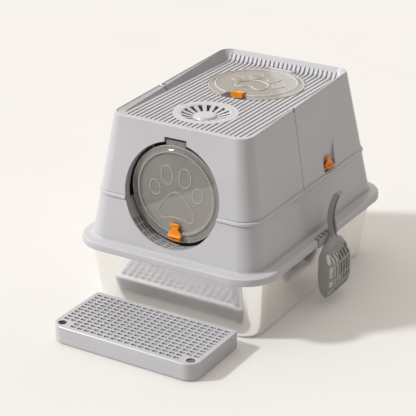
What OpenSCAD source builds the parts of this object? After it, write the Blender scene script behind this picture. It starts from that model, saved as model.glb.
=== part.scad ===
// Enclosed cat litter box: a steel pan, a plastic frame over its rim, a two-part ribbed hood,
// a swinging entry door, a hinged top lid, a vent with its filter, a scoop and a step.
// The origin is on the floor under the middle of the pan, and the entry faces -Y.

/* [Steel pan] */
// Width of the pan at its floor
pan_floor_w = 393; // [370:1:400]
// Length of the pan at its floor
pan_floor_l = 524; // [500:1:530]
// Width of the pan just under its rim
pan_mouth_w = 425; // [422:1:428]
// Length of the pan just under its rim
pan_mouth_l = 572; // [566:1:576]
// Thickness of the steel sheet
pan_wall = 1.2; // [0.8:0.1:1.8]
// Radius of the pan's upright corners at the floor
pan_corner_r = 42; // [36:1:50]

/* [Frame] */
// Width over the frame's flange
flange_w = 460; // [456:1:470]
// Length over the frame's flange
flange_l = 608; // [604:1:620]
// Height of the flange's lower edge above the floor
flange_z = 138; // [130:1:150]
// Height of the flange's band
flange_h = 16; // [14:1:20]
// Corner radius of the flange
flange_corner_r = 74; // [66:1:80]
// Height of the frame's wall above the flange
frame_wall_h = 96; // [90:1:98]
// Thickness of the moulded plastic walls
wall = 3; // [2.4:0.2:3.4]

/* [Hood] */
// Width of the walls where they meet the flange
wall_foot_w = 413; // [410:1:416]
// Width of the hood at its rim
rim_w = 323; // [318:1:328]
// Distance from the middle to the front wall at the flange
front_foot = 279; // [277:1:281]
// Distance from the middle to the front wall at the rim
front_rim = 238.6; // [236:0.2:240]
// Distance from the middle to the back wall at the flange
back_foot = 283; // [281:1:285]
// Distance from the middle to the back wall at the rim
back_rim = 224.6; // [223:0.2:228]
// Height of the rim above the flange at the front
rim_front_h = 268; // [264:1:272]
// Height of the rim above the flange at the back
rim_back_h = 286.5; // [284:0.5:290]
// Depth of the ribbed deck below the front rim
deck_drop = 5; // [4:0.5:6]
// Distance from the middle to the parting line of the two hood halves
split = 45; // [43:1:47]
// Number of ribs across the deck
rib_count = 26; // [20:1:28]

/* [Entry] */
// Radius of the round entry
entry_r = 112; // [110:0.5:113]
// Height of the entry's centre above the floor
entry_z = 278.5; // [277:0.5:280]
// Radius of the swinging door
door_r = 106; // [104:0.5:107]
// Distance of the door behind the front wall's face
door_depth = 19; // [18:0.5:20]
// Depth of the slotted sill
sill_depth = 45; // [42:1:48]

/* [Top lid] */
// Radius of the round top lid
lid_r = 105; // [103:0.5:106]
// Distance from the middle to the lid's centre
lid_y = 87; // [86:0.5:88]

/* [Vent] */
// Radius of the vent's seat in the deck
vent_r = 57; // [54:0.5:58]
// Distance from the middle to the vent's centre
vent_y = 126; // [124:0.5:128]
// Number of slots round the vent
vent_slots = 16; // [10:1:18]

/* [Scoop] */
// Width of the scoop's basket
scoop_w = 100; // [90:1:106]
// Height from the basket's lip to its shoulder
basket_h = 120; // [110:1:124]
// Depth of the basket
basket_d = 34; // [31:1:36]
// Number of slot columns across the basket's floor
scoop_columns = 6; // [4:1:7]

/* [Step] */
// Width of the step
step_w = 344; // [320:1:360]
// Depth of the step
step_d = 171; // [160:1:176]
// Height of the step, with its feet
step_h = 39.5; // [36:0.5:45]
// Sideways offset of the step from the middle of the box
step_x = 9; // [0:1:15]
// Gap between the step and the front of the pan's floor
step_gap = 36; // [30:1:60]
// Number of slot columns in the step's grille
step_columns = 20; // [16:1:22]
// Number of slot rows in the step's grille
step_rows = 13; // [10:1:14]

/* [Hidden] */
$fn = 72;

// Colours of the pieces
grey = [0.76, 0.76, 0.78];
dark_grey = [0.38, 0.38, 0.40];
orange = [0.95, 0.53, 0.10];
clear = [0.70, 0.67, 0.63, 0.45];
steel = [0.86, 0.86, 0.87];
black = [0.15, 0.15, 0.16];

// Clearances and overruns shared by the pieces
gap = 0.3;
run_fit = 0.08;
over = 2;
corner_steps = 8;

// Heights worked out from the driving sizes
flange_top = flange_z + flange_h;
seam_z = flange_top + frame_wall_h;
rim_front_z = flange_top + rim_front_h;
rim_back_z = flange_top + rim_back_h;
rim_slope = (rim_back_z - rim_front_z) / (front_rim + back_rim);
rim_mid_z = (rim_front_z + rim_back_z) / 2;
side_slope = (wall_foot_w - rim_w) / 2 / (rim_mid_z - flange_top);
front_slope = (front_foot - front_rim) / rim_front_h;
back_slope = (back_foot - back_rim) / rim_back_h;
lean = atan(front_slope);
wall_corner_foot = 48;
wall_corner_rim = 30;
corner_slope = (wall_corner_foot - wall_corner_rim) / (rim_mid_z - flange_top);
deck_z = rim_front_z - deck_drop;
rib_h = 2.6;
groove_z = deck_z - rib_h;
deck_t = 3.5;
deck_under = groove_z - deck_t;

// The leaning walls: half-width, front, back and corner radius at a height
function half_w(z) = wall_foot_w / 2 - side_slope * (z - flange_top);
function front_y(z) = -front_foot + front_slope * (z - flange_top);
function back_y(z) = back_foot - back_slope * (z - flange_top);
function corner_r(z) = wall_corner_foot - corner_slope * (z - flange_top);

// Outline of a rounded rectangle from its half-width, front, back and radius
function outline(hw, yf, yb, r) = [for (c = [[hw - r, yb - r, 0], [r - hw, yb - r, 90],
        [r - hw, yf + r, 180], [hw - r, yf + r, 270]])
    for (i = [0 : corner_steps])
        let (a = c[2] + 90 * i / corner_steps) [c[0] + r * cos(a), c[1] + r * sin(a)]];
function lift(points, z) = [for (p = points) [p[0], p[1], z]];
function ring(hw, yf, yb, r, z) = lift(outline(hw, yf, yb, r), z);

// A ring that follows the leaning walls at a height, grown outwards by a distance
function wall_ring(z, grow) = ring(half_w(z) + grow, front_y(z) - grow, back_y(z) + grow,
    corner_r(z) + grow, z);

// A ring where the grown walls meet the sloping plane of the rim, lowered by a drop
function rim_ring(grow, drop) = let (low = wall_ring(seam_z, grow), high = wall_ring(rim_front_z, grow),
        h = rim_front_z - seam_z)
    [for (i = [0 : len(low) - 1]) let (
            by = (high[i][1] - low[i][1]) / h,
            bx = (high[i][0] - low[i][0]) / h,
            up = (rim_front_h - frame_wall_h - drop + rim_slope * (low[i][1] + front_rim))
                / (1 - rim_slope * by))
        [low[i][0] + bx * up, low[i][1] + by * up, seam_z + up]];

// A closed solid through a stack of rings that all have the same number of points
module loft(rings) {
    n = len(rings[0]);
    m = len(rings);
    polyhedron(points = [for (r = rings) for (p = r) p],
        faces = concat([[for (i = [0 : n - 1]) i]],
            [for (k = [0 : m - 2]) for (i = [0 : n - 1])
                for (t = [0, 1]) let (a = k * n + i, b = k * n + (i + 1) % n)
                    t == 0 ? [b, a, a + n] : [b, a + n, b + n]],
            [[for (i = [n - 1 : -1 : 0]) (m - 1) * n + i]]));
}

// Smooth curves through a few points: the blend between two of them, closed, and open
function blend(p0, p1, p2, p3, t) = (2 * p1 + (p2 - p0) * t + (2 * p0 - 5 * p1 + 4 * p2 - p3) * t * t
    + (3 * p1 - p0 - 3 * p2 + p3) * t * t * t) / 2;
function curve(points, steps = 6) = let (n = len(points)) [for (i = [0 : n - 1]) for (j = [0 : steps - 1])
    blend(points[(i + n - 1) % n], points[i], points[(i + 1) % n], points[(i + 2) % n], j / steps)];
function open_curve(points, steps = 3) = let (n = len(points)) [for (i = [0 : n - 2])
    for (j = [0 : i == n - 2 ? steps : steps - 1])
        blend(points[max(i - 1, 0)], points[i], points[i + 1], points[min(i + 2, n - 1)], j / steps)];

// An ellipse as an outline
function ellipse(rx, ry, steps = 28) = [for (i = [0 : steps - 1])
    [rx * cos(360 * i / steps), ry * sin(360 * i / steps)]];

// Local frame of the entry: x across, y into the box square to the wall, z up the wall
module at_entry() {
    translate([0, front_y(entry_z), entry_z])
        rotate([-lean, 0, 0])
            children();
}

// Local frame of the door, which hangs upright: y = 0 is its front, z = 0 its centre
module at_door() {
    translate([0, front_y(entry_z) + door_depth * cos(lean), entry_z - door_depth * sin(lean)])
        children();
}

// A flat shape stood up across the y axis, from a depth and with a thickness
module upright(depth, t) {
    translate([0, depth + t, 0])
        rotate([90, 0, 0])
            linear_extrude(t)
                children();
}

// A round bar along y from a depth, with a length
module along_y(r, depth, len) {
    translate([0, depth, 0])
        rotate([-90, 0, 0])
            cylinder(r = r, h = len);
}

// A round bar along x, centred
module along_x(r, len) {
    rotate([0, 90, 0])
        cylinder(r = r, h = len, center = true);
}

// Steel pan: pressed sheet with a turned-down rim that the frame sits on
rim_seat_z = flange_top - wall - gap;
pan_foot_r = 12;
pan_rim_reach = 11;
pan_lip_h = 6;
module steel_pan() {
    mouth_r = pan_corner_r + (pan_mouth_w - pan_floor_w) / 2;
    hw = pan_floor_w / 2;
    hl = pan_floor_l / 2;
    mw = pan_mouth_w / 2;
    ml = pan_mouth_l / 2;
    function pan_ring(w, l, r, z, g) = ring(w - g, -l + g, l - g, r - g, z);
    foot = [for (a = [0 : 22.5 : 90]) [pan_foot_r * (1 - sin(a)), pan_foot_r * (1 - cos(a))]];
    color(steel) difference() {
        union() {
            loft(concat([for (f = foot) pan_ring(hw, hl, pan_corner_r, f[1], f[0])],
                [pan_ring(mw, ml, mouth_r, rim_seat_z, 0)]));
            loft([pan_ring(mw, ml, mouth_r, rim_seat_z - pan_lip_h, -pan_rim_reach),
                pan_ring(mw, ml, mouth_r, rim_seat_z - pan_wall, -pan_rim_reach),
                pan_ring(mw, ml, mouth_r, rim_seat_z, pan_wall - pan_rim_reach)]);
        }
        loft(concat([for (f = foot) pan_ring(hw, hl, pan_corner_r, f[1] + pan_wall, f[0] + pan_wall)],
            [pan_ring(mw, ml, mouth_r, rim_seat_z + pan_wall, pan_wall)]));
        difference() {
            loft([pan_ring(mw, ml, mouth_r, rim_seat_z - pan_lip_h - over, pan_wall - pan_rim_reach),
                pan_ring(mw, ml, mouth_r, rim_seat_z - pan_wall, pan_wall - pan_rim_reach)]);
            loft([pan_ring(mw, ml, mouth_r, rim_seat_z - pan_lip_h - over - pan_wall, 0),
                pan_ring(mw, ml, mouth_r, rim_seat_z, 0)]);
        }
    }
}

// Frame: the flange and the lower wall in one moulding, hollow below, with a skirt into the pan
band_t = 3;
skirt_h = 26;
skirt_t = 2;
skirt_clear = 0.9;
skirt_in = wall + skirt_clear;
tongue_h = 7;
tongue_t = 2;
tongue_gap = 0.6;
fillet = 5;
// Upright ring under the foot of the walls, drawn in by a distance
function foot_ring(z, inset) = ring(wall_foot_w / 2 - inset, inset - front_foot, back_foot - inset,
    wall_corner_foot - inset, z);
module base_frame() {
    fw = flange_w / 2;
    fl = flange_l / 2;
    function band(z, g) = ring(fw - g, -fl + g, fl - g, flange_corner_r - g, z);
    tongue_in = -wall - tongue_gap - tongue_t;
    color(grey) difference() {
        union() {
            // Flange with its rounded edge, blended into the wall
            loft([band(flange_z, fillet / 5), band(flange_z + fillet / 5, 0), band(flange_top - fillet, 0),
                band(flange_top - fillet * 0.4, fillet * 0.2), band(flange_top - fillet * 0.1,
                    fillet * 0.6),
                band(flange_top, fillet)]);
            loft([wall_ring(flange_top - wall, fillet), wall_ring(flange_top, fillet * 0.9),
                wall_ring(flange_top + fillet * 0.3, fillet * 0.35),
                wall_ring(flange_top + fillet, 0), wall_ring(seam_z - gap, 0)]);
            // Skirt that hangs inside the pan
            loft([foot_ring(flange_top - skirt_h, skirt_in), foot_ring(flange_top - wall / 2, skirt_in)]);
            // Tongue that locates the hood
            loft([wall_ring(seam_z - tongue_h * 2, -wall / 2),
                wall_ring(seam_z - tongue_h, -wall - tongue_gap),
                wall_ring(seam_z + tongue_h, -wall - tongue_gap)]);
        }
        // Channel over the pan's rim
        difference() {
            loft([band(flange_z - over, band_t), band(flange_top - wall, band_t)]);
            loft([foot_ring(flange_z - over * 2, skirt_in), foot_ring(flange_top, skirt_in)]);
        }
        // Inside of the walls and of the skirt
        loft([foot_ring(flange_top - skirt_h - over, skirt_in + skirt_t),
            foot_ring(flange_top - wall * 2, skirt_in + skirt_t),
            wall_ring(flange_top, -wall),
            wall_ring(seam_z - tongue_h * 2, -wall),
            wall_ring(seam_z - tongue_h, tongue_in),
            wall_ring(seam_z + tongue_h + over, tongue_in)]);
        // Entry, and room behind the wall for the sill's flange
        at_entry() along_y(entry_r, -over, sill_depth);
        at_entry() along_y(entry_r + sill_t + sill_lip + gap, wall * 0.98, sill_depth);
    }
}

// Slotted sill: the lower part of the entry tunnel, seated behind the frame's wall
sill_t = 3;
sill_lip = 5;
sill_front = wall + gap;
sill_slot_w = 3.6;
sill_slot_rows = 3;
sill_slot_columns = 12;
sill_slot_angle = 9.2;
sill_slot_share = 0.74;
module sill_grate() {
    pitch = (sill_depth - sill_front - sill_lip) / (sill_slot_rows + 0.5);
    color(grey) difference() {
        at_entry() difference() {
            union() {
                along_y(entry_r + sill_t, sill_front, sill_depth - sill_front);
                along_y(entry_r + sill_t + sill_lip, sill_front, wall * 0.8);
            }
            along_y(entry_r, -over, sill_depth + over * 2);
            for (row = [0 : sill_slot_rows - 1])
                for (column = [0 : sill_slot_columns - 1])
                    rotate([0, (column - (sill_slot_columns - 1) / 2) * sill_slot_angle, 0])
                        translate([0, sill_front + wall + pitch * (row + 0.25), -entry_r - sill_t / 2])
                            cube([entry_r * sill_slot_angle * PI / 180 * sill_slot_share, sill_slot_w,
                                sill_t * 3], center = true);
        }
        translate([-flange_w / 2, -flange_l, seam_z - gap])
            cube([flange_w, flange_l * 2, rim_front_h]);
    }
}

// Shell of both hood halves, whole, before it is parted
bead_h = 8;
bead_out = 3;
bead_groove = 0.6;
rim_t = 4.5;
rim_round = 3;
deck_side = 18.5;
module hood_shell() {
    deck_ring = ring(rim_w / 2 - deck_side + rim_round * 0.4, front_y(deck_z) + deck_side + wall * 2,
        back_rim - deck_side, wall_corner_rim - rim_round * 3, groove_z);
    deck_ring_2 = ring(rim_w / 2 - deck_side + rim_round * 1.2, front_y(deck_z) + deck_side + wall,
        back_rim - deck_side + rim_round * 0.7, wall_corner_rim - rim_round * 2.5, deck_z + rim_round / 5);
    difference() {
        union() {
            difference() {
                // Outside, from the bead at the lower edge to the rounded rim
                loft([wall_ring(seam_z, bead_out * 0.6), wall_ring(seam_z + bead_out * 0.6, bead_out),
                    wall_ring(seam_z + bead_h * 0.7, bead_out),
                    wall_ring(seam_z + bead_h * 0.9, bead_out * 0.4), wall_ring(seam_z + bead_h,
                        -bead_groove),
                    wall_ring(seam_z + bead_h * 1.1, 0), rim_ring(0, rim_round),
                    rim_ring(-rim_round * 0.35, rim_round * 0.3), rim_ring(-rim_round, 0)]);
                // Tray on the top, down to the grooves between the ribs
                loft([deck_ring, deck_ring_2, rim_ring(-rim_t - rim_round * 0.3, rim_round * 0.5),
                    rim_ring(-rim_t + rim_round * 0.3, -rim_round * 0.2),
                    rim_ring(-rim_t + rim_round * 0.3, -rim_round * 3)]);
            }
            ribs();
            children();
        }
        // Hollow inside
        loft([wall_ring(seam_z - over, -wall), wall_ring(deck_under - wall * 2, -wall),
            wall_ring(deck_under, -wall * 2.5)]);
    }
}

// Ribs of the deck, which turn up at the back rim
rib_share = 0.52;
rib_curl = 16;
module ribs() {
    pitch = (rim_w - deck_side * 2) / rib_count;
    y0 = front_y(deck_z) + deck_side + wall * 1.5;
    y1 = back_rim - deck_side - rib_curl + rib_h * 2;
    profile = concat([[y0, groove_z - deck_t / 2], [y0, deck_z - rib_h / 2], [y0 + rib_h / 2, deck_z]],
        [for (a = [0 : 15 : 75]) [y1 + rib_curl * sin(a), deck_z + rib_curl * (1 - cos(a))]],
        [[y1 + rib_curl + rib_h, deck_z + rib_curl * 0.9],
            [y1 + rib_curl + rib_h * 2, groove_z - deck_t / 2]]);
    for (i = [0 : rib_count - 1])
        translate([(i - rib_count / 2 + 0.5) * pitch - pitch * rib_share / 2, 0, 0])
            rotate([90, 0, 90])
                linear_extrude(pitch * rib_share)
                    polygon(profile);
}

// Everything in front of the parting line, less half the gap, or everything behind it
module front_half() {
    translate([-flange_w / 2, -flange_l, 0])
        cube([flange_w, flange_l - split - gap / 2, rim_back_z * 2]);
}
module rear_half() {
    translate([-flange_w / 2, gap / 2 - split, 0])
        cube([flange_w, flange_l, rim_back_z * 2]);
}

// Hinge between the halves: an ear on each, one on either side, in the rim
hinge_up = 4;
hinge_z = deck_z + hinge_up;
ear_r = 5.5;
ear_t = 5;
pin_r = 1.5;
notch_angle = 50;
ear_in = 13;
ear_x = rim_w / 2 - ear_in;
module at_hood_hinge() {
    translate([0, -split, hinge_z])
        children();
}
// Bar along x on both sides, from a distance out from the middle and with a length
module both_sides(r, x, len) {
    for (s = [0, 1])
        mirror([s, 0, 0])
            translate([x, 0, 0])
                rotate([0, 90, 0])
                    cylinder(r = r, h = len);
}
// V-shaped notch that lets the front rim swing up past the back one
module rim_notch() {
    h = hinge_up * 5;
    at_hood_hinge()
        translate([-flange_w / 2, 0, 0])
            rotate([90, 0, 90])
                linear_extrude(flange_w)
                    polygon([[0, 0], [h * tan(notch_angle), h], [-h * tan(notch_angle), h]]);
}

// Front hood
vent_pad_r = 68.5;
vent_ledge = 4;
tunnel_clear = 2;
upper_tunnel = door_depth - tunnel_clear;
hinge_notch_w = 52;
hinge_notch_up = 7.5;
door_pin_rise = 2;
door_pin_up = entry_r + door_pin_rise;
door_pin_depth = 12;
door_ear_w = 7;
door_ear_r = 5;
door_knuckle_r = 5;
// The same pin, seen from the door's own frame
hang_y = (door_pin_depth - door_depth) * cos(lean) + door_pin_up * sin(lean);
hang_z = door_pin_up * cos(lean) - (door_pin_depth - door_depth) * sin(lean);
module front_hood() {
    color(grey) difference() {
        union() {
            intersection() {
                difference() {
                    hood_shell() {
                        translate([0, -vent_y, groove_z - deck_t / 2])
                            cylinder(r = vent_pad_r, h = deck_z + gap - groove_z + deck_t / 2);
                    }
                    at_entry() along_y(entry_r, -bead_out - over, upper_tunnel * 3);
                    rim_notch();
                    // Room for the back hood's ears
                    at_hood_hinge() both_sides(ear_r + gap * 2, ear_x - gap, ear_t + gap * 2);
                }
                front_half();
            }
            // Ears that carry the hinge pins, outside the back hood's ears
            intersection() {
                at_hood_hinge() both_sides(ear_r, ear_x + ear_t + gap, ear_t);
                hood_block();
            }
            // Upper part of the entry tunnel, with the bosses of the door's pin
            intersection() {
                at_entry() difference() {
                    union() {
                        along_y(entry_r + sill_t, wall / 2, upper_tunnel - wall / 2);
                        for (s = [-1, 1])
                            translate([s * (hinge_notch_w + door_ear_w) / 2 - door_ear_w / 2, wall / 2,
                                    door_pin_up - door_ear_r * 2])
                                cube([door_ear_w, door_pin_depth + door_ear_r - wall / 2, door_ear_r * 3]);
                    }
                    along_y(entry_r, -over, upper_tunnel * 2);
                }
                translate([-flange_w / 2, -flange_l, seam_z])
                    cube([flange_w, flange_l, rim_front_h]);
            }
        }
        // Notch for the door's knuckle, and the bore of its pin
        at_entry() {
            translate([-hinge_notch_w / 2, -over, entry_r - door_ear_r * 2.4])
                cube([hinge_notch_w, upper_tunnel + over * 2, door_ear_r * 2.4 + hinge_notch_up]);
            translate([0, door_pin_depth, door_pin_up])
                along_x(pin_r, hinge_notch_w + door_ear_w * 2 - wall);
        }
        at_hood_hinge() both_sides(pin_r + run_fit, ear_x - gap, (ear_t + gap) * 2 - over);
        // Vent opening through the deck, with a ledge for the grille
        translate([0, -vent_y, deck_under - over])
            cylinder(r = vent_r - vent_ledge, h = deck_t * 4);
        translate([0, -vent_y, groove_z])
            cylinder(r = vent_r, h = deck_t * 4);
    }
}

// Solid block of the hood's outer form, to trim what is added inside it
module hood_block() {
    loft([wall_ring(seam_z, 0), rim_ring(0, rim_round), rim_ring(-rim_round, 0)]);
}

// Back hood, with the lid's seat, the cup of its latch and the pockets of the side latches
lid_clear = 2.5;
lid_seat_r = lid_r + lid_clear;
lid_ledge = 9;
cup_r = 32;
cup_depth = 6;
lid_pin_back = 6;
lid_pin_y = lid_y + lid_r + lid_pin_back;
lid_tab_w = 60;
lid_ear_w = 5;
lid_knuckle_r = 3.3;
lid_pin_z = groove_z + gap + lid_knuckle_r;
pocket_w = 53;
pocket_h = 60;
pocket_y = 76.5;
pocket_round = 8;
pocket_low = seam_z + tongue_h + gap + wall;
pocket_top = pocket_low + pocket_h;
latch_pin_out = 6;
latch_pin_up = 7;
pocket_x = half_w(pocket_top);
module rear_hood() {
    color(grey) difference() {
        union() {
            intersection() {
                difference() {
                    hood_shell();
                    rim_notch();
                    // Room for the front hood's ears
                    at_hood_hinge() both_sides(ear_r + gap * 2, ear_x + ear_t, ear_t + gap * 2);
                    // Seat of the lid, down to the grooves
                    translate([0, lid_y, groove_z])
                        cylinder(r = lid_seat_r, h = deck_t * 4);
                    translate([-lid_tab_w / 2 - lid_ear_w - wall, lid_y + lid_r - wall * 3, groove_z])
                        cube([lid_tab_w + (lid_ear_w + wall) * 2, lid_pin_y - lid_y - lid_r + wall * 5,
                            deck_t * 2]);
                }
                rear_half();
            }
            intersection() {
                union() {
                    at_hood_hinge() both_sides(ear_r, ear_x, ear_t);
                    pockets(wall);
                }
                hood_block();
            }
            lid_cup(cup_r + wall, groove_z, deck_under - cup_depth, wall);
            // Ears of the lid's pin
            for (s = [0, 1])
                mirror([s, 0, 0])
                    translate([lid_tab_w / 2 + gap * 2, lid_pin_y - lid_knuckle_r, groove_z - deck_t / 2])
                        cube([lid_ear_w, lid_knuckle_r * 2,
                            lid_pin_z + lid_knuckle_r - groove_z + deck_t / 2]);
        }
        difference() {
            translate([0, lid_y, deck_under - over])
                cylinder(r = lid_seat_r - lid_ledge, h = deck_t * 3);
            translate([0, lid_y - lid_r, deck_under - over * 2])
                cylinder(r = cup_r + wall, h = deck_t * 4);
        }
        lid_cup(cup_r, groove_z + deck_t, deck_under - cup_depth + wall, 0);
        translate([0, lid_pin_y, lid_pin_z])
            along_x(pin_r, lid_tab_w + lid_ear_w * 2 + over * 2);
        at_hood_hinge() both_sides(pin_r, ear_x - over, ear_t + over + gap);
        pockets(0);
        side_pins();
    }
}

// Pockets of the side latches, open to the outside and rounded below, grown by their walls
module pockets(grow) {
    w = pocket_w / 2 - pocket_round;
    r = pocket_round + grow;
    top = pocket_h + max(grow, over);
    for (s = [0, 1])
        mirror([s, 0, 0])
            translate([pocket_x - grow, pocket_y, pocket_low])
                rotate([90, 0, 90])
                    linear_extrude(pocket_x)
                        polygon(concat([[w + r, top], [-w - r, top]],
                            [for (a = [180 : 15 : 270]) [r * cos(a) - w, r * sin(a) + pocket_round]],
                            [for (a = [270 : 15 : 360]) [r * cos(a) + w, r * sin(a) + pocket_round]]));
}

// Middle of a side latch's pin
module at_side_pin() {
    translate([pocket_x + latch_pin_out, pocket_y, pocket_low + latch_pin_up])
        children();
}

// Lens-shaped cup under the lid's edge, between two heights, grown by a wall
module lid_cup(r, top, low, grow) {
    intersection() {
        translate([0, lid_y - lid_r, low])
            cylinder(r = r, h = top - low);
        translate([0, lid_y, low])
            cylinder(r = lid_seat_r + grow, h = top - low);
    }
}

module hood_hinge_pins() {
    color(steel)
        at_hood_hinge() both_sides(pin_r, ear_x + gap, ear_t * 2 - over);
}

// Paw ornament: four toes and a pad, as flat shapes
module paw(toes, pad) {
    for (t = toes)
        for (s = [-1, 1])
            translate([s * t[0], t[1]])
                rotate(-s * t[4])
                    polygon(ellipse(t[2], t[3]));
    polygon(curve(pad));
}
// Places and radii of the toes, and points of the pad, as shares of the disc's radius
door_toe_shares = [[0.48, 0.07, 0.115, 0.155, 14], [0.20, 0.37, 0.13, 0.195, 4]];
door_pad_shares = [[0, 0.05], [0.17, -0.05], [0.36, -0.28], [0.40, -0.43], [0.31, -0.54], [0.12, -0.49],
    [-0.12, -0.49], [-0.31, -0.54], [-0.40, -0.43], [-0.36, -0.28], [-0.17, -0.08]];
lid_toe_shares = [[0.48, 0.07, 0.10, 0.115, 25], [0.21, 0.38, 0.115, 0.14, 8]];
lid_pad_shares = [[0, 0.06], [0.22, 0.01], [0.33, -0.16], [0.30, -0.36], [0.17, -0.37], [0, -0.29],
    [-0.17, -0.37], [-0.30, -0.36], [-0.33, -0.16], [-0.22, 0.01]];
emboss = 1.3;
ornament_bead = 3;
ornament_ring_share = 0.81;
door_ring_share = 0.84;
door_ring_up_share = 0.03;

// Swinging door: a clear disc with a raised ring and the paw, hung from its knuckle
door_t = 2.5;
tab_w = 46;
door_latch_travel = 6;
latch_stem_w = 8;
latch_stem_h = 5;
latch_stem_up = 28;
latch_above = 5;
latch_low = door_r - latch_above;
module front_door() {
    color(clear) at_door() difference() {
        union() {
            along_y(door_r, 0, door_t);
            // Turned-back edge
            difference() {
                along_y(door_r, 0, door_t * 2.2);
                along_y(door_r - door_t, -over, door_t * 4);
            }
            translate([0, 0, door_r * door_ring_up_share])
                rotate([90, 0, 0])
                    raised_ring(door_r * door_ring_share);
            upright(-emboss, emboss * 1.5)
                paw([for (t = door_toe_shares) [for (i = [0 : 3]) t[i] * door_r, t[4]]],
                    door_pad_shares * door_r);
            // Arm that reaches back to the knuckle
            translate([-tab_w / 2, 0, hang_z - door_knuckle_r * 3.2])
                cube([tab_w, hang_y, door_knuckle_r * 3.6]);
            translate([0, hang_y, hang_z])
                along_x(door_knuckle_r, tab_w);
        }
        translate([0, hang_y, hang_z])
            along_x(pin_r + run_fit, tab_w * 2);
        translate([-latch_stem_w / 2 - gap, -over * 2, latch_stem_up - latch_low - door_latch_travel - gap])
            cube([latch_stem_w + gap * 2, door_t * 4, latch_stem_h + door_latch_travel + gap * 2]);
    }
}

// Half-round raised ring on a flat face, about the z axis
module raised_ring(r) {
    rotate_extrude()
        translate([r, 0])
            intersection() {
                circle(r = ornament_bead, $fn = 24);
                translate([-ornament_bead, -emboss])
                    square([ornament_bead * 2, ornament_bead + emboss]);
            }
}

module front_door_pin() {
    color(steel)
        at_entry() translate([0, door_pin_depth, door_pin_up])
            along_x(pin_r, hinge_notch_w + door_ear_w * 2 - wall - gap);
}

// Snap latch seen from its front, as a flat shape that stands on its tongue
latch_w = 34;
// Right half of its outline from the tongue up, as shares of its width and height
latch_shares = [[0.24, 0], [0.33, 0.03], [0.36, 0.09], [0.36, 0.22], [0.50, 0.26], [0.50, 0.37],
    [0.44, 0.47], [0.29, 0.59], [0.22, 0.67], [0.22, 0.74], [0.28, 0.79], [0.31, 0.85], [0.31, 0.94],
    [0.25, 1]];
module latch_face(w, h) {
    n = len(latch_shares);
    polygon([for (i = [0 : 2 * n - 1]) let (p = latch_shares[min(i, 2 * n - 1 - i)])
        [(i < n ? p[0] : -p[0]) * w, p[1] * h]]);
}

// Latch of the door: a slider on its front, held by a stem and a head behind
door_latch_h = 38.5;
latch_t = 4;
latch_ledge = 5;
module front_door_latch() {
    back = -ornament_bead - gap;
    head = door_t + gap;
    color(orange) at_door() translate([0, 0, -latch_low]) {
        upright(back - latch_t, latch_t)
            latch_face(latch_w, door_latch_h);
        // Finger ledge across the wings, and a bar across the top
        translate([-latch_w / 2, back - latch_t - latch_ledge, door_latch_h * 0.27])
            cube([latch_w, latch_ledge + latch_t / 2, door_latch_h * 0.09]);
        upright(back - latch_t * 1.5, latch_t)
            translate([0, door_latch_h * 0.93])
                square([latch_w * 0.58, door_latch_h * 0.1], center = true);
        // Stem through the door, with its head behind
        translate([-latch_stem_w / 2, back - latch_t / 2, latch_stem_up])
            cube([latch_stem_w, head - back + latch_t, latch_stem_h]);
        translate([-latch_stem_w, head, latch_stem_up])
            cube([latch_stem_w * 2, door_t, latch_stem_h]);
    }
}

// Top lid: a clear disc with a scallop for the fingers, on a pin at its back
lid_t = 2.5;
lid_z = groove_z + gap;
module top_lid() {
    color(clear) difference() {
        union() {
            translate([0, lid_y, lid_z]) {
                cylinder(r = lid_r, h = lid_t);
                translate([0, 0, lid_t])
                    raised_ring(lid_r * ornament_ring_share * 1.05);
                translate([0, 0, lid_t - emboss / 2])
                    linear_extrude(emboss * 1.5)
                        paw([for (t = lid_toe_shares) [for (i = [0 : 3]) t[i] * lid_r, t[4]]],
                            lid_pad_shares * lid_r);
            }
            translate([-lid_tab_w / 2, lid_y + lid_r * 0.93, lid_z])
                cube([lid_tab_w, lid_pin_y - lid_y - lid_r * 0.93, lid_t]);
            translate([0, lid_pin_y, lid_pin_z])
                along_x(lid_knuckle_r, lid_tab_w);
        }
        translate([0, lid_y - lid_r, lid_z - over])
            cylinder(r = scallop_r, h = lid_t * 5);
        translate([0, lid_pin_y, lid_pin_z])
            along_x(pin_r + run_fit, lid_tab_w * 2);
        translate([-latch_stem_w / 2 - gap, lid_stem_y - gap, lid_z - over])
            cube([latch_stem_w + gap * 2, lid_stem_l + lid_latch_travel + gap * 2, lid_t * 3]);
    }
}
scallop_in = 1;
scallop_r = cup_r - scallop_in;
lid_latch_travel = 5;
lid_stem_l = 6;
lid_stem_y = lid_y - lid_r + cup_r + wall + gap * 3;

module top_lid_pin() {
    color(steel)
        translate([0, lid_pin_y, lid_pin_z])
            along_x(pin_r, lid_tab_w + lid_ear_w * 2 + gap * 4 - gap);
}

// Latch of the lid: a slider with a finger tab that stands in the finger cup
lid_latch_w = 28;
lid_latch_t = 4;
lid_latch_plate = 2;
lid_tab_up = 7;
lid_tab_down = 6;
module top_lid_latch() {
    y1 = lid_y - lid_r + sqrt(pow(scallop_r, 2) - pow(lid_latch_w / 2, 2)) - lid_latch_travel - gap * 2;
    y0 = y1 - lid_latch_t;
    top = lid_z + lid_t + gap;
    color(orange) {
        // Tab in the finger cup, clear of the lid's edge
        translate([-lid_latch_w / 2, y0, top - lid_tab_down])
            cube([lid_latch_w, lid_latch_t, lid_tab_down + lid_tab_up]);
        // Plate on the lid, and its stem through the lid to a foot below
        translate([-lid_latch_w * 0.35, y0 + lid_latch_t / 2, top])
            cube([lid_latch_w * 0.7, lid_stem_y + lid_stem_l + over - y0 - lid_latch_t / 2,
                lid_latch_plate]);
        translate([-latch_stem_w / 2, lid_stem_y, lid_z - gap - over])
            cube([latch_stem_w, lid_stem_l, lid_t + over * 2]);
        translate([-latch_stem_w, lid_stem_y, lid_z - gap - over * 1.2])
            cube([latch_stem_w * 2, lid_stem_l, over * 1.2]);
    }
}

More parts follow.
